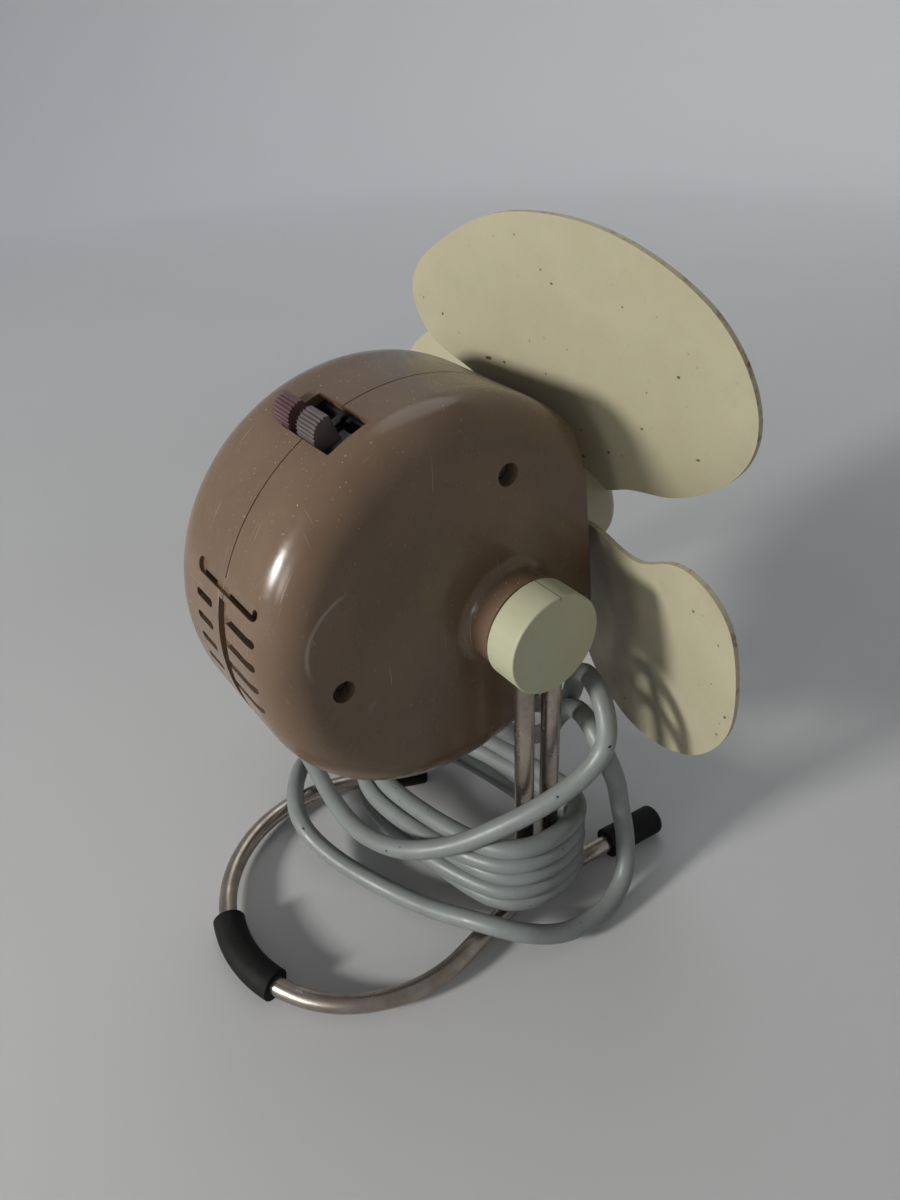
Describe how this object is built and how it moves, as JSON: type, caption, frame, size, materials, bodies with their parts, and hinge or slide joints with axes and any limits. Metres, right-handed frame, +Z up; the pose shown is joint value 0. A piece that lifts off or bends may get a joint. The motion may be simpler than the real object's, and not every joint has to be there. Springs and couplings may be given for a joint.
{
  "type": "desk fan",
  "caption": "Small electric desk fan: drum-shaped motor housing with cream blades, tilting on a bent-rod loop stand with rubber feet, its grey cord wound round the legs",
  "frame": {"origin": "middle of the fan's box at the table, measured without the cord", "axes": "+Z up, -Y the way the air blows, the drum's axis along X with the pivot on the -X side"},
  "size_m": [0.2183, 0.1607, 0.2135],
  "materials": {
    "housing_brown": "glossy moulded brown plastic with fine scratches",
    "blade_cream": "matte cream plastic, dusty, slightly see-through at the edges",
    "cap_cream": "greenish cream plastic with a fine moulding line",
    "rod_nickel": "dull nickel-plated rod with specks of rust",
    "rubber_black": "matte black rubber",
    "cord_grey": "grey vinyl cord sheath, slightly glossy, with dirt specks",
    "black_plastic": "black moulded plastic",
    "slider_plum": "plum-brown ribbed plastic",
    "slider_grey": "grey-violet ribbed plastic",
    "screw_steel": "turned zinc-plated steel",
    "brass": "plain brass or copper",
    "aluminium": "die-cast aluminium",
    "core_steel": "stacked dark sheet steel",
    "bobbin_white": "white nylon",
    "washer_fibre": "red-brown vulcanised fibre"
  },
  "bodies": {
    "stand": {"stand_wire": "rod_nickel", "foot_sleeve": "rubber_black", "foot_cap_front": "rubber_black", "foot_cap_tail": "rubber_black", "clamp_plate": "screw_steel", "pivot_cap": "cap_cream", "cord_lead": "cord_grey", "cord_coil": "cord_grey", "cord_tail": "cord_grey", "plug_body": "black_plastic", "plug_pin_left": "brass", "plug_pin_right": "brass"},
    "head": {"housing_near": "housing_brown", "housing_far": "housing_brown", "housing_screws": "screw_steel", "pivot_insert": "brass", "friction_washer": "washer_fibre", "pivot_screw": "screw_steel", "stator_stack": "core_steel", "shading_bands": "brass", "coil_bobbin": "bobbin_white", "coil_winding": "brass", "bracket_front": "aluminium", "bracket_rear": "aluminium", "bush_front": "brass", "bush_rear": "brass", "motor_bolts": "screw_steel", "switch_body": "black_plastic", "switch_tags": "brass", "terminal_block": "bobbin_white", "terminal_screws": "screw_steel", "cord_boot": "cord_grey", "inner_cord": "cord_grey"},
    "rotor": {"motor_rotor": "core_steel", "motor_shaft": "screw_steel", "shaft_collars": "brass", "thrust_washers": "washer_fibre", "impeller": "blade_cream", "hub_bush": "brass"},
    "slider_plum": {"slider_plum": "slider_plum"},
    "slider_grey": {"slider_grey": "slider_grey"}
  },
  "joints": [
    {"name": "head_tilt", "type": "hinge", "parent": "stand", "child": "head", "pos_m": [-0.00511, -0.01699, 0.113], "axis": [-1, 0, 0], "range_deg": [-5, 35]},
    {"name": "rotor_spin", "type": "hinge", "parent": "head", "child": "rotor", "pos_m": [-0.00511, -0.00297, 0.11826], "axis": [0, -0.9945, 0.1045], "continuous": true},
    {"name": "switch_plum", "type": "slide", "parent": "head", "child": "slider_plum", "axis": [0, -0.9239, 0.3827], "range_m": [0, 0.006]},
    {"name": "switch_grey", "type": "slide", "parent": "head", "child": "slider_grey", "axis": [0, -0.9239, 0.3827], "range_m": [0, 0.006]}
  ]
}
